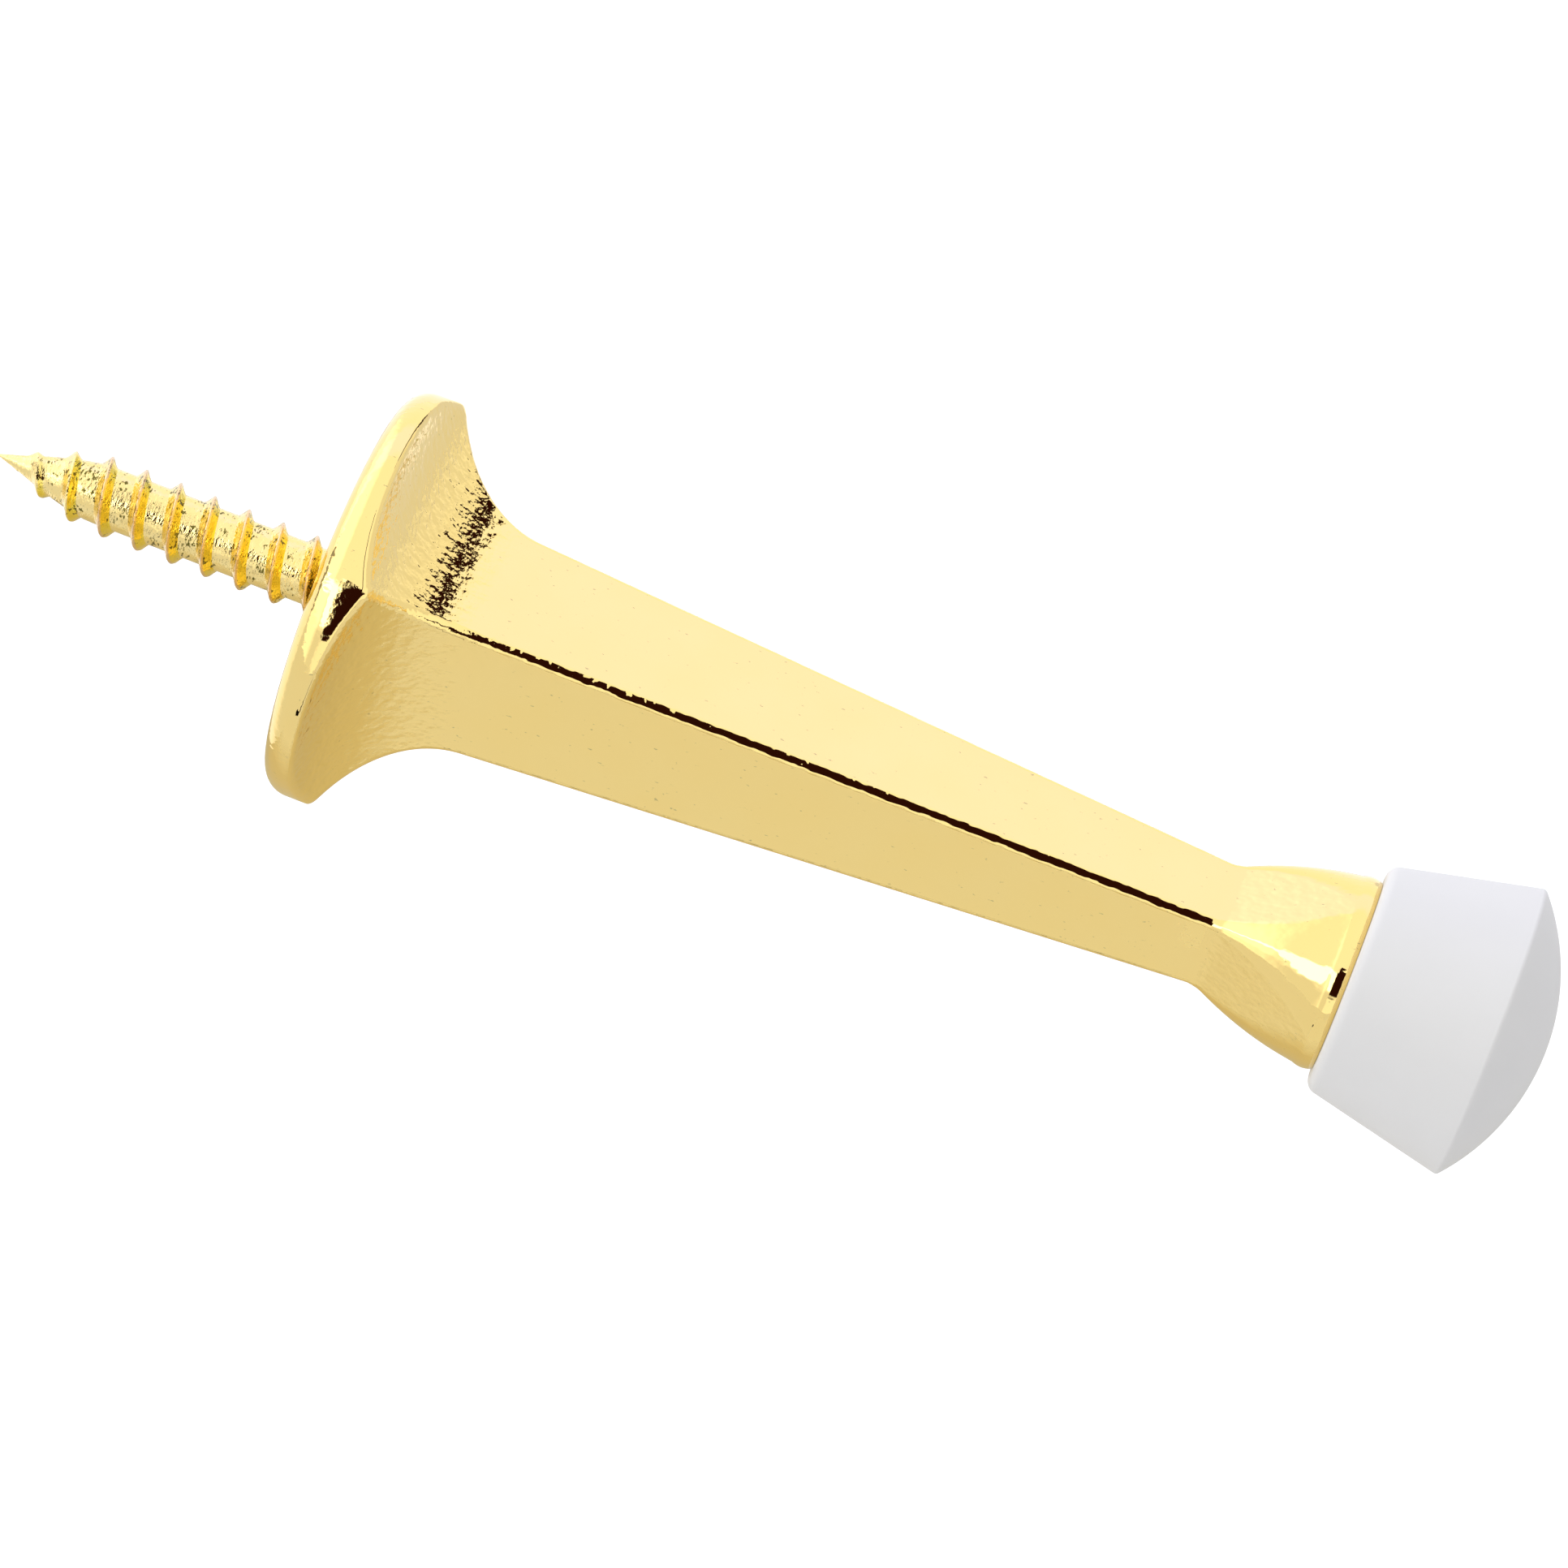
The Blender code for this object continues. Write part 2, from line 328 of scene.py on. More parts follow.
def boss_rows(last_row):
    """Rows of the ribbed boss, in line with the columns of the post's last row."""
    around = last_row[:, 1:] / np.linalg.norm(last_row[:, 1:], axis=1)[:, None]
    front = POST_LENGTH + BOSS_LENGTH
    outline = [(POST_LENGTH, BOSS_RADIUS)]
    for offset in RIB_OFFSETS:
        middle = POST_LENGTH + offset
        outline.append((middle - RIB_LENGTH / 2, BOSS_RADIUS))
        outline.append((middle, BOSS_RADIUS + RIB_HEIGHT))
        outline.append((middle + RIB_LENGTH / 2, BOSS_RADIUS))
    outline.append((front - BOSS_LEAD, BOSS_RADIUS))
    outline.append((front, BOSS_RADIUS - BOSS_LEAD))
    return [ring(x, radius, around) for x, radius in outline]


def post(material):
    """The casting: its hole for the screw, base, flare, square taper, round end and boss."""
    columns = post_columns()
    rows = base_rows(columns) + body_rows(columns)
    return lofted("post", rows + boss_rows(rows[-1]), material)


def thread_profile():
    """Places either side of the crest, in pitches, with the thread's height share there."""
    ridge = np.linspace(-THREAD_HALF_WIDTH, THREAD_HALF_WIDTH, PROFILE_POINTS)
    profile = []
    for place in np.concatenate([[-VALLEY_PLACE], ridge, [VALLEY_PLACE]]):
        inward = (THREAD_HALF_WIDTH - abs(place)) / (THREAD_HALF_WIDTH - CREST_HALF_WIDTH)
        share = min(max(inward, 0.0), 1.0) ** FLANK_POWER
        profile.append((place, share))
    return profile


def screw_radius(x, share):
    """Radius of the screw at x, where the thread's profile has this share of its height."""
    distance = x + SCREW_REACH
    root = np.interp(distance, POINT_DISTANCES, POINT_RADII)
    growth = min(max((distance - THREAD_START) / (THREAD_FULL - THREAD_START), 0.0), 1.0)
    return root + THREAD_HEIGHT * sqrt(growth) * share


def thread_rows(profile):
    """Rows of points that follow the thread's right-hand helix, from the point to the shank."""
    first_turn = floor((-SCREW_REACH - CREST_X) / PITCH) - 1
    last_turn = ceil((THREAD_ENTRY - CREST_X) / PITCH) + 2
    rows = []
    for turn in range(first_turn, last_turn):
        for place, share in profile:
            row = []
            for facet in range(SCREW_FACETS):
                around = facet / SCREW_FACETS
                x = CREST_X + (turn + place + around) * PITCH
                height_share = share if x < THREAD_ENTRY else 0.0
                x = min(max(x, -SCREW_REACH), THREAD_ENTRY)
                radius = screw_radius(x, height_share)
                angle = 2 * pi * around
                row.append((x, radius * cos(angle), radius * sin(angle)))
            rows.append(row)
    return rows


def screw(material):
    """A wood screw with a gimlet point, and the shank inside the post."""
    profile = thread_profile()
    rows = thread_rows(profile)
    points = [point for row in rows for point in row]
    count = SCREW_FACETS

    def point_at(row, column):
        """Number of a point. A row's column after the last starts the row one turn later."""
        if column == count:
            return (row + len(profile)) * count
        return row * count + column

    faces = []
    last = len(rows) - len(profile) - 1
    for row in range(last):
        for column in range(count):
            corners = (
                point_at(row, column),
                point_at(row, column + 1),
                point_at(row + 1, column + 1),
                point_at(row + 1, column),
            )
            faces.append(corners)
    end = len(points)
    points += [(SHANK_END, y, z) for _, y, z in rows[last]]
    for column in range(count):
        after = (column + 1) % count
        faces.append((point_at(last, column), point_at(last, column + 1), end + after, end + column))
    faces.append(tuple(range(end, end + count)))
    return piece_from("screw", points, faces, material)


def tip(material):
    """The rubber tip, turned with the blind socket that grips the boss."""
    rim_x = tip_high.x - DOME_HEIGHT
    dome_radius = (TIP_RIM_RADIUS**2 + DOME_HEIGHT**2) / (2 * DOME_HEIGHT)
    rim_angle = asin(TIP_RIM_RADIUS / dome_radius)
    socket_end = POST_LENGTH + SOCKET_DEPTH
    corners = [
        (socket_end, SOCKET_RADIUS / 2, 0.0, 0),
        (socket_end, SOCKET_RADIUS, 0.0, 0),
        (TIP_BACK, SOCKET_RADIUS, SOCKET_ROUNDING, SOCKET_STEPS),
        (TIP_BACK, TIP_BACK_RADIUS, TIP_BACK_ROUNDING, TIP_BACK_STEPS),
        (rim_x, TIP_RIM_RADIUS, TIP_RIM_ROUNDING, TIP_RIM_STEPS),
    ]
    for angle in np.linspace(rim_angle, 0.0, DOME_STEPS + 1)[1:-1]:
        x = tip_high.x - dome_radius * (1 - cos(angle))
        corners.append((x, dome_radius * sin(angle), 0.0, 0))
    corners.append((tip_high.x, DOME_FLAT_RADIUS, 0.0, 0))
    angles = np.arange(TIP_FACETS) * 2 * pi / TIP_FACETS
    around = np.column_stack([np.cos(angles), np.sin(angles)])
    rows = [ring(x, radius, around) for x, radius in rounded(corners)]
    return lofted("tip", rows, material)


# ---------------------------------------------------------------- materials


def rgb(red, green, blue):
    return red, green, blue, 1.0


WHITE = rgb(1.0, 1.0, 1.0)
BLACK = rgb(0.0, 0.0, 0.0)

# Post plating. Sizes are those of noise features, and a stretch is along each axis. A pair of
# numbers is the range over which an effect comes in, here and for the other materials.
BRASS_DEEP = rgb(0.95, 0.715, 0.26)
BRASS_PALE = rgb(0.95, 0.735, 0.29)
BRASS_PIT = rgb(0.58, 0.47, 0.20)
BRASS_ROUGHNESS = 0.03
ROUNDED_CORNER = (0.998, 0.96)  # the larger of the normal's Y and Z parts
FACE_WAVES = 0.12
END_WAVES = 0.3
NECK_BLEND = (NECK_X - MM, NECK_X + MM)
UPWARD = (0.0, 0.3)
LOWER_SHARE = 0.3
FLARE_X = (14 * MM, 9 * MM)
FLARE_WAVES = 0.15
FLARE_GRAIN = 0.9
EVEN_GRAIN = 0.1
BAND_START = (12.2 * MM, 12.6 * MM)
BAND_SHARE = 0.25
BACKWARD = (-0.5, -0.9)
BACK_SHARE = 0.1
BRASS_TONE_SIZE = 4 * MM
WAVE_SIZE = 0.55 * MM
WAVE_STRETCH = (1.6, 1.0, 1.0)
WAVE_DEPTH = 0.07 * MM
GRAIN_SIZE = 0.2 * MM
GRAIN_DEPTH = 0.013 * MM
PIT_SIZE = 0.22 * MM
PIT_STRETCH = (2.0, 1.0, 1.0)
POST_PITS = (0.70, 0.76)

# Screw plating
VALLEY_DEEP = rgb(0.95, 0.72, 0.26)
VALLEY_PALE = rgb(0.97, 0.80, 0.38)
# Painted shade: the thread's flanks that face the post are given these deeper yellows
SHADED_FLANK_DEEP = rgb(0.86, 0.60, 0.03)
SHADED_FLANK_PALE = rgb(0.97, 0.78, 0.12)
SCREW_PIT = rgb(0.17, 0.14, 0.03)
WORN_CREST = rgb(0.80, 0.56, 0.30)
SCREW_ROUGHNESS = 0.08
# Range of the normal's X part over which the painted shade on the flanks comes in
SHADED_FLANK_FACING = (0.25, 0.55)
SCREW_TONE_SIZE = 0.5 * MM
SPECK_SIZE = 0.2 * MM
SPECK_STRETCH = (0.7, 1.5, 1.5)
CLUSTER_SIZE = 1.0 * MM
PIT_CLUSTER = (0.50, 0.62)
CLUSTER_SHARE = 0.15
SCREW_PITS = (0.67, 0.72)
CLEAN_POINT = (2 * MM - SCREW_REACH, 3 * MM - SCREW_REACH)
CREST_RADIUS = (screw_high.z - 0.14 * MM, screw_high.z - 0.06 * MM)
DENT_SIZE = 0.3 * MM
DENT_STRETCH = (0.6, 1.6, 1.6)
DENT_DEPTH = 0.07 * MM

# Tip rubber
RUBBER_DARK = rgb(0.69, 0.69, 0.69)
RUBBER_LIGHT = rgb(0.71, 0.71, 0.71)
RUBBER_ROUGHNESS = 0.55
RUBBER_TONE_SIZE = 3 * MM
RUBBER_GRAIN_SIZE = 0.25 * MM
RUBBER_GRAIN_DEPTH = 0.004 * MM


class Graph:
    """Short calls that add and join shader nodes in one node tree."""

    def __init__(self, tree):
        self.tree = tree

    def add(self, kind, inputs=(), output=0, **settings):
        """Add a node, set or link its inputs by name or number, and return one output."""
        node = self.tree.nodes.new(kind)
        for name, value in settings.items():
            setattr(node, name, value)
        for name, value in dict(inputs).items():
            if isinstance(value, bpy.types.NodeSocket):
                self.tree.links.new(value, node.inputs[name])
            else:
                node.inputs[name].default_value = value
        return node.outputs[output]

    def coordinates(self, kind):
        """Object: the surface point in metres. Normal: outward. Generated: a world's direction."""
        return self.add("ShaderNodeTexCoord", output=kind)

    def parts(self, vector):
        """The X, Y and Z parts of a vector."""
        return self.add("ShaderNodeSeparateXYZ", {0: vector}).node.outputs

    def math(self, operation, *values):
        return self.add("ShaderNodeMath", dict(enumerate(values)), operation=operation)

    def times(self, first, *others):
        """The product of all the values."""
        for other in others:
            first = self.math("MULTIPLY", first, other)
        return first

    def off_axis(self, y, z):
        """The distance from the X axis."""
        return self.math("SQRT", self.math("ADD", self.times(y, y), self.times(z, z)))

    def ramp(self, value, start, end, low=0.0, high=1.0):
        """A smooth step of value, from low at start to high at end."""
        inputs = {"Value": value, "From Min": start, "From Max": end, "To Min": low, "To Max": high}
        return self.add("ShaderNodeMapRange", inputs, interpolation_type="SMOOTHSTEP")

    def edge(self, value, softness):
        """A smooth step from 0 to 1 as value rises through zero."""
        return self.ramp(value, -softness, softness)

    def window(self, value, start, end, softness):
        """1 where value lies between start and end, falling smoothly to 0 outside."""
        rise = self.ramp(value, start - softness, start + softness)
        fall = self.ramp(value, end - softness, end + softness, 1.0, 0.0)
        return self.times(rise, fall)

    def mix(self, share, first, second):
        """A colour mix, from first at share 0 to second at share 1."""
        inputs = {0: share, 6: first, 7: second}
        return self.add("ShaderNodeMix", inputs, 2, data_type="RGBA")

    def noise(self, place, size, detail=2.0, roughness=0.5, stretch=(1.0, 1.0, 1.0)):
        """Noise whose features are about size metres across, stretched along each axis."""
        scale = Vector([1.0 / (size * part) for part in stretch])
        scaled = self.add("ShaderNodeVectorMath", {0: place, 1: scale}, operation="MULTIPLY")
        inputs = {"Vector": scaled, "Scale": 1.0, "Detail": detail, "Roughness": roughness}
        return self.add("ShaderNodeTexNoise", inputs)

    def bump(self, height, distance, normal=None):
        """A normal bent by height, on top of an earlier bump if normal is given."""
        inputs = {"Height": height, "Distance": distance}
        if normal:
            inputs["Normal"] = normal
        return self.add("ShaderNodeBump", inputs)


def new_material(name):
    """A material, its node graph, and its Principled shader."""
    material = bpy.data.materials.new(name)
    material.use_nodes = True
    return material, Graph(material.node_tree), material.node_tree.nodes["Principled BSDF"]


def connect(graph, shader, **values):
    """Set or link the shader's sockets, named with _ in place of each space."""
    for name, value in values.items():
        socket = shader.inputs[name.replace("_", " ")]
        if isinstance(value, bpy.types.NodeSocket):
            graph.tree.links.new(value, socket)
        else:
            socket.default_value = value


def polishing(graph, place):
    """How wavy and how grainy the post's plating is: most on the corners and the upper flare."""
    x, y, z = graph.parts(place)
    facing = graph.parts(graph.coordinates("Normal"))
    sideways = [graph.math("ABSOLUTE", facing[axis]) for axis in ("Y", "Z")]
    corners = graph.ramp(graph.math("MAXIMUM", *sideways), *ROUNDED_CORNER, FACE_WAVES, 1.0)
    corners = graph.times(corners, graph.ramp(x, *NECK_BLEND, 1.0, END_WAVES))
    flare = graph.times(graph.ramp(x, *FLARE_X), graph.ramp(facing["Z"], *UPWARD, LOWER_SHARE, 1.0))
    band = graph.ramp(graph.off_axis(y, z), *BAND_START, 1.0, BAND_SHARE)
    band = graph.times(band, graph.ramp(facing["X"], *BACKWARD, 1.0, BACK_SHARE))
    wavy = graph.math("MAXIMUM", corners, graph.times(flare, FLARE_WAVES))
    grainy = graph.math("ADD", graph.times(flare, FLARE_GRAIN), EVEN_GRAIN)
    return graph.times(wavy, band), graph.times(grainy, band)


def post_plating():
    """Bright brass plating with a few pits, rougher where polishing reaches least."""
    material, graph, shader = new_material("post plating")
    place = graph.coordinates("Object")
    wavy, grainy = polishing(graph, place)
    color = graph.mix(graph.noise(place, BRASS_TONE_SIZE, detail=3.0), BRASS_DEEP, BRASS_PALE)
    marks = graph.noise(place, PIT_SIZE, stretch=PIT_STRETCH)
    color = graph.mix(graph.ramp(marks, *POST_PITS), color, BRASS_PIT)
    waves = graph.noise(place, WAVE_SIZE, detail=1.0, stretch=WAVE_STRETCH)
    waves = graph.bump(graph.times(waves, wavy), WAVE_DEPTH)
    grain = graph.noise(place, GRAIN_SIZE, detail=1.0)
    surface = graph.bump(graph.times(grain, grainy), GRAIN_DEPTH, waves)
    connect(graph, shader, Base_Color=color, Metallic=1.0, Roughness=BRASS_ROUGHNESS, Normal=surface)
    return material


def screw_plating():
    """Yellow plating over a rolled thread: pale valleys, painted shade in deeper yellow on the flanks
    that face the post, and dark pits.
    """
    material, graph, shader = new_material("screw plating")
    place = graph.coordinates("Object")
    x, y, z = graph.parts(place)
    along = graph.parts(graph.coordinates("Normal"))["X"]
    tone = graph.noise(place, SCREW_TONE_SIZE, detail=3.0)
    valley = graph.mix(tone, VALLEY_DEEP, VALLEY_PALE)
    shaded_flank = graph.mix(tone, SHADED_FLANK_DEEP, SHADED_FLANK_PALE)
    # Painted shade: surfaces that face the post take the deeper flank yellow
    color = graph.mix(graph.ramp(along, *SHADED_FLANK_FACING), valley, shaded_flank)
    cluster = graph.noise(place, CLUSTER_SIZE, detail=1.0)
    cluster = graph.ramp(cluster, *PIT_CLUSTER, 0.0, CLUSTER_SHARE)
    speck = graph.noise(place, SPECK_SIZE, roughness=0.6, stretch=SPECK_STRETCH)
    pits = graph.ramp(graph.math("ADD", speck, cluster), *SCREW_PITS)
    color = graph.mix(graph.times(pits, graph.ramp(x, *CLEAN_POINT)), color, SCREW_PIT)
    color = graph.mix(graph.ramp(graph.off_axis(y, z), *CREST_RADIUS), color, WORN_CREST)
    dents = graph.noise(place, DENT_SIZE, roughness=0.6, stretch=DENT_STRETCH)
    dents = graph.bump(dents, DENT_DEPTH)
    connect(graph, shader, Base_Color=color, Metallic=1.0, Roughness=SCREW_ROUGHNESS, Normal=dents)
    return material


def tip_rubber():
    """Smooth white rubber."""
    material, graph, shader = new_material("tip rubber")
    place = graph.coordinates("Object")
    color = graph.mix(graph.noise(place, RUBBER_TONE_SIZE, detail=3.0), RUBBER_DARK, RUBBER_LIGHT)
    grain = graph.bump(graph.noise(place, RUBBER_GRAIN_SIZE), RUBBER_GRAIN_DEPTH)
    connect(graph, shader, Base_Color=color, Roughness=RUBBER_ROUGHNESS, Normal=grain)
    return material


# ---------------------------------------------------------------- stage

# The studio's light is set by direction. Across is a direction's share along the post. Tilt is its
# angle about the post's axis from straight up, in degrees, positive towards the front. A pair of
# numbers is the range over which the light changes, or the two ends of a window.
PANEL_LEVEL = 1.18
BEHIND_TILT = (-10.0, -35.0)
RIGHT_ACROSS = (0.5, 0.75)
BEHIND_RIGHT_DROP = 0.28
LEFT_ACROSS = (-0.45, -0.65)
LEFT_GAIN = 1.4
LOW_LEFT_TILT = (72.0, 120.0)
LOW_LEFT_SOFTNESS = 4.0
LOW_LEFT_ACROSS = (-0.13, -0.2)
LOW_LEFT_DROP = 0.28

LAMP_LEVEL = 1.8
LAMP_TOP = (42.0, 46.0)
LAMP_FOOT_ACROSS = (-0.55, -0.42)
LAMP_FOOT_TILT = (50.0, 69.0)
LAMP_RIGHT = (-0.14, -0.2)

GAP_COLOR = rgb(0.024, 0.005, 0.003)
GAP_LEVEL = 1.0
TILT_SOFTNESS = 2.0
ACROSS_SOFTNESS = 0.02
MIDDLE_LEFT = (-0.06, -0.01)
MIDDLE_RIGHT = (0.34, 0.44)
GAP_TOP_AT_SIDES = 42.0
GAP_TOP_IN_MIDDLE = -4.0
GAP_FOOT = (74.0, 78.0)
GAP_LEFT = (-0.175, -0.135)
GAP_RIGHT_TILT = (56.0, 64.0)
GAP_RIGHT_ACROSS = (0.97, 0.64)
GAP_BEHIND_TILT = (-95.0, -40.0)
GAP_BEHIND_TILT_SOFTNESS = 6.0
GAP_BEHIND_ACROSS = (0.43, 0.56)
GAP_BEHIND_ACROSS_SOFTNESS = 0.025
FAR_LEFT = (-0.975, -0.985)
FAR_LEFT_SHARE = 0.7

COOL_WHITE = rgb(1.0, 1.0, 1.32)
COOL_TILT = (-64.0, -38.0)
COOL_SOFTNESS = 5.0
COOL_ACROSS = (0.5, 0.2)

# Cards that only reflections see. The strips among them lie between two x and two tilts.
CARD_ROUGHNESS = 0.9
STRIP_STEPS = 8
FLAG_BLACK = rgb(0.004, 0.003, 0.002)
FLAG_DISTANCE = 250 * MM
FLAG_X = (-35 * MM, 300 * MM)
FLAG_TILT = (117.5, 121.5)
CARD_DISTANCE = 30 * MM
RIM_CARD_X = (-8 * MM, 6.5 * MM)
END_CARD_X = (60 * MM, 80 * MM)
UPPER_CARD_TILT = (-20.0, 41.0)
LOW_CARD_X = (56 * MM, 80 * MM)
LOW_CARD_TILT = (100.0, 130.0)
LOW_CARD_LEVEL = 0.86
WARM_CARD_NEAR = rgb(0.66, 0.60, 0.42)
WARM_CARD_FAR = rgb(0.56, 0.49, 0.30)
WARM_CARD_LOW = (-0.04, -0.07)
WARM_CARD_HIGH = (0.12, 0.09)
WARM_CARD_Z = -0.06
WARM_CARD_TURN = (-0.02, 0.04)
WARM_CARD_FADE = (-0.06, -0.01)

# Floor
FLOOR_WHITE = rgb(0.97, 0.97, 0.97)
# The darker front and right of the floor are painted shade; the white part behind on the left gets a
# painted glow
FLOOR_FRONT_SHADE = rgb(0.79, 0.79, 0.765)
FLOOR_RIGHT_SHADE = rgb(0.77, 0.77, 0.76)
FLOOR_HALF_SIDE = 1.5
FLOOR_Z = -0.16
FLOOR_FRONT_Y = (-0.10, 0.03)
FLOOR_RIGHT_X = (0.17, 0.11)
FLOOR_GLOW = 0.12

# Camera
CAMERA_AZIMUTH = radians(4.34)
CAMERA_ELEVATION = radians(44.51)
CAMERA_ROLL = radians(18.11)
CAMERA_DISTANCE = 414.7 * MM
CAMERA_AIM = Vector((28.864, -0.958, -1.031)) * MM
CAMERA_LENS = 161.5
SENSOR_WIDTH = 36.0
CAMERA_CLIP = (0.01, 20.0)


def panel_level(graph, across, tilt):
    """Strength of the panels all round, with a strong lamp ahead on the left."""
    behind_right = graph.times(graph.ramp(across, *RIGHT_ACROSS), graph.ramp(tilt, *BEHIND_TILT))
    level = graph.math("SUBTRACT", PANEL_LEVEL, graph.times(behind_right, BEHIND_RIGHT_DROP))
    level = graph.times(level, graph.ramp(across, *LEFT_ACROSS, 1.0, LEFT_GAIN))

    foot = graph.ramp(across, *LAMP_FOOT_ACROSS, *LAMP_FOOT_TILT)
    above_foot = graph.edge(graph.math("SUBTRACT", foot, tilt), TILT_SOFTNESS)
    lamp = graph.times(graph.ramp(tilt, *LAMP_TOP), above_foot, graph.ramp(across, *LAMP_RIGHT))
    level = graph.math("ADD", level, graph.times(lamp, LAMP_LEVEL))

    low_left = graph.window(tilt, *LOW_LEFT_TILT, LOW_LEFT_SOFTNESS)
    low_left = graph.times(low_left, graph.ramp(across, *LOW_LEFT_ACROSS))
    return graph.math("SUBTRACT", level, graph.times(low_left, LOW_LEFT_DROP))


def gap_cover(graph, across, tilt):
    """How dark each direction is: a gap ahead, one behind on the right, and a dim far left."""
    top_left = graph.ramp(across, *MIDDLE_LEFT, GAP_TOP_AT_SIDES, GAP_TOP_IN_MIDDLE)
    top_right = graph.ramp(across, *MIDDLE_RIGHT, GAP_TOP_IN_MIDDLE, GAP_TOP_AT_SIDES)
    top = graph.math("MAXIMUM", top_left, top_right)
    below_top = graph.edge(graph.math("SUBTRACT", tilt, top), TILT_SOFTNESS)
    above_foot = graph.ramp(tilt, *GAP_FOOT, 1.0, 0.0)
    right = graph.ramp(tilt, *GAP_RIGHT_TILT, *GAP_RIGHT_ACROSS)
    left_of_right = graph.edge(graph.math("SUBTRACT", right, across), ACROSS_SOFTNESS)
    ahead = graph.times(below_top, above_foot, graph.ramp(across, *GAP_LEFT), left_of_right)

    behind = graph.times(
        graph.window(tilt, *GAP_BEHIND_TILT, GAP_BEHIND_TILT_SOFTNESS),
        graph.window(across, *GAP_BEHIND_ACROSS, GAP_BEHIND_ACROSS_SOFTNESS),
    )
    far_left = graph.times(graph.ramp(across, *FAR_LEFT), FAR_LEFT_SHARE)
    return graph.math("MAXIMUM", graph.math("MAXIMUM", ahead, behind), far_left)


def studio_world():
    """Soft white panels all round, with dark gaps between them."""
    world = bpy.data.worlds.new("studio")
    world.use_nodes = True
    bpy.context.scene.world = world
    graph = Graph(world.node_tree)
    across, y, z = graph.parts(graph.coordinates("Generated"))
    tilt = graph.math("DEGREES", graph.math("ARCTAN2", graph.times(y, -1.0), z))
    gaps = gap_cover(graph, across, tilt)
    level = graph.add("ShaderNodeMix", {0: gaps, 2: panel_level(graph, across, tilt), 3: GAP_LEVEL})
    cool = graph.times(graph.window(tilt, *COOL_TILT, COOL_SOFTNESS), graph.ramp(across, *COOL_ACROSS))
    color = graph.mix(gaps, graph.mix(cool, WHITE, COOL_WHITE), GAP_COLOR)
    connect(graph, world.node_tree.nodes["Background"], Color=color, Strength=level)


def stage_item(name, points, faces, material):
    """A mesh that belongs to the studio and not to the part."""
    mesh = bpy.data.meshes.new(name)
    mesh.from_pydata(points, [], faces)
    mesh.materials.append(material)
    item = bpy.data.objects.new(name, mesh)
    bpy.context.scene.collection.objects.link(item)
    return item


def only_reflected(item):
    """Keep a card out of everything but the post's reflections."""
    item.visible_camera = False
    item.visible_diffuse = False
    item.visible_shadow = False


def strip(name, distance, x_ends, tilt_ends, material):
    """A curved strip about the post's axis."""
    start, end = tilt_ends
    points = []
    for step in range(STRIP_STEPS + 1):
        tilt = radians(start + (end - start) * step / STRIP_STEPS)
        for x in x_ends:
            points.append((x, -distance * sin(tilt), distance * cos(tilt)))
    faces = [(2 * step, 2 * step + 1, 2 * step + 3, 2 * step + 2) for step in range(STRIP_STEPS)]
    only_reflected(stage_item(name, points, faces, material))


def level_card(name, low, high, z, material):
    """A level rectangle at height z, between its (x, y) corners low and high."""
    (left, front), (right, back) = low, high
    corners = ((left, front), (right, front), (right, back), (left, back))
    return stage_item(name, [(x, y, z) for x, y in corners], [(0, 1, 2, 3)], material)


def matte(graph, shader, color, glow=0.0, cover=1.0):
    """A dull surface that also gives off white light of strength glow."""
    connect(graph, shader, Base_Color=color, Roughness=CARD_ROUGHNESS, Specular_IOR_Level=0.0)
    connect(graph, shader, Emission_Color=WHITE, Emission_Strength=glow, Alpha=cover)


def plain_card(name, color, glow=0.0):
    """The material of a card that is the same all over."""
    material, graph, shader = new_material(name)
    matte(graph, shader, color, glow)
    return material


def stage_strips():
    """A black strip low in front, and light ones that hide the gap from the rim and the end."""
    black = plain_card("flag black", FLAG_BLACK)
    white = plain_card("card white", BLACK, PANEL_LEVEL)
    gray = plain_card("card gray", BLACK, LOW_CARD_LEVEL)
    strip("flag", FLAG_DISTANCE, FLAG_X, FLAG_TILT, black)
    strip("rim card", CARD_DISTANCE, RIM_CARD_X, UPPER_CARD_TILT, white)
    strip("end card", CARD_DISTANCE, END_CARD_X, UPPER_CARD_TILT, white)
    strip("low card", CARD_DISTANCE, LOW_CARD_X, LOW_CARD_TILT, gray)


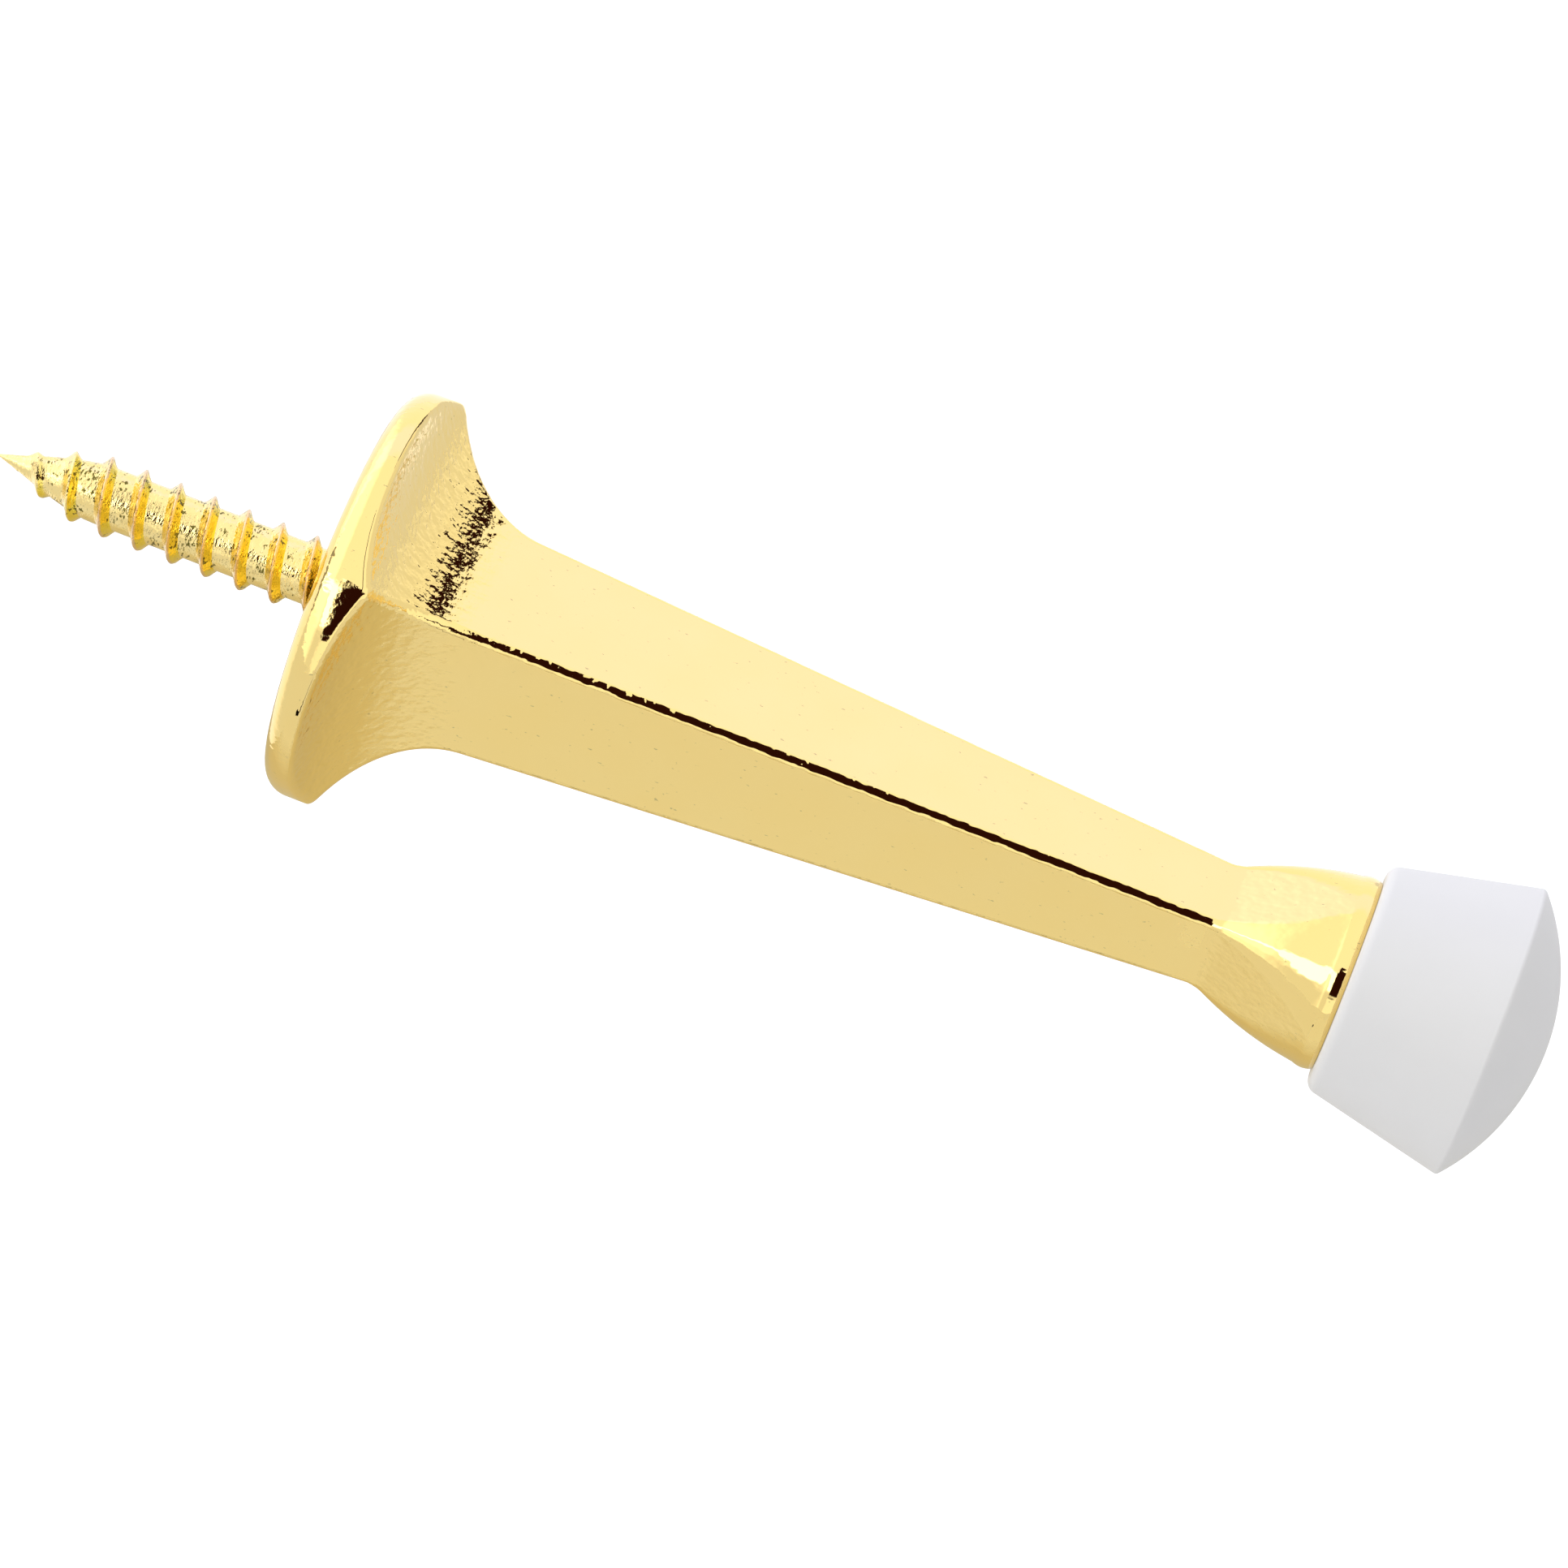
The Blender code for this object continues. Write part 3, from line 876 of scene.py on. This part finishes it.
def warm_card():
    """A sand-coloured card under the post, whose front fades out."""
    material, graph, shader = new_material("warm card")
    y = graph.parts(graph.coordinates("Object"))["Y"]
    color = graph.mix(graph.ramp(y, *WARM_CARD_TURN), WARM_CARD_NEAR, WARM_CARD_FAR)
    matte(graph, shader, color, cover=graph.ramp(y, *WARM_CARD_FADE))
    only_reflected(level_card("warm card", WARM_CARD_LOW, WARM_CARD_HIGH, WARM_CARD_Z, material))


def pale_floor():
    """A wide pale floor below the part, with painted shade to the front and to the right, and a faint
    painted glow behind on the left.
    """
    material, graph, shader = new_material("pale floor")
    parts = graph.parts(graph.coordinates("Object"))
    behind = graph.ramp(parts["Y"], *FLOOR_FRONT_Y)
    left = graph.ramp(parts["X"], *FLOOR_RIGHT_X)
    # Painted shade to the front and right, and a painted glow behind on the left
    color = graph.mix(left, FLOOR_RIGHT_SHADE, graph.mix(behind, FLOOR_FRONT_SHADE, FLOOR_WHITE))
    matte(graph, shader, color, graph.times(behind, left, FLOOR_GLOW))
    half = FLOOR_HALF_SIDE
    level_card("floor", (-half, -half), (half, half), FLOOR_Z, material)


def photo_camera():
    """A long lens that looks down on the post from in front of it, with the camera rolled."""
    front = Vector((sin(CAMERA_AZIMUTH), -cos(CAMERA_AZIMUTH), 0.0))
    back = front * cos(CAMERA_ELEVATION) + Vector((0.0, 0.0, sin(CAMERA_ELEVATION)))
    level = Vector((cos(CAMERA_AZIMUTH), sin(CAMERA_AZIMUTH), 0.0))
    upright = back.cross(level)
    right = level * cos(CAMERA_ROLL) + upright * sin(CAMERA_ROLL)
    up = upright * cos(CAMERA_ROLL) - level * sin(CAMERA_ROLL)
    data = bpy.data.cameras.new("camera")
    data.sensor_width = SENSOR_WIDTH
    data.lens = CAMERA_LENS
    data.clip_start, data.clip_end = CAMERA_CLIP
    camera = bpy.data.objects.new("camera", data)
    bpy.context.scene.collection.objects.link(camera)
    turn = Matrix((right, up, back)).transposed()
    camera.matrix_world = Matrix.Translation(CAMERA_AIM + back * CAMERA_DISTANCE) @ turn.to_4x4()
    bpy.context.scene.camera = camera


def place_piece(piece, body, node):
    """Tie a piece to the body it rides on, and hide the CAD node it stands for."""
    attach(piece, body)
    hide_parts(node)


place_piece(post(post_plating()), "post", "post_casting")
place_piece(screw(screw_plating()), "post", "wall_screw")
place_piece(tip(tip_rubber()), "tip", "rubber_tip")
studio_world()
stage_strips()
warm_card()
pale_floor()
photo_camera()
bpy.context.scene.view_settings.view_transform = "Standard"
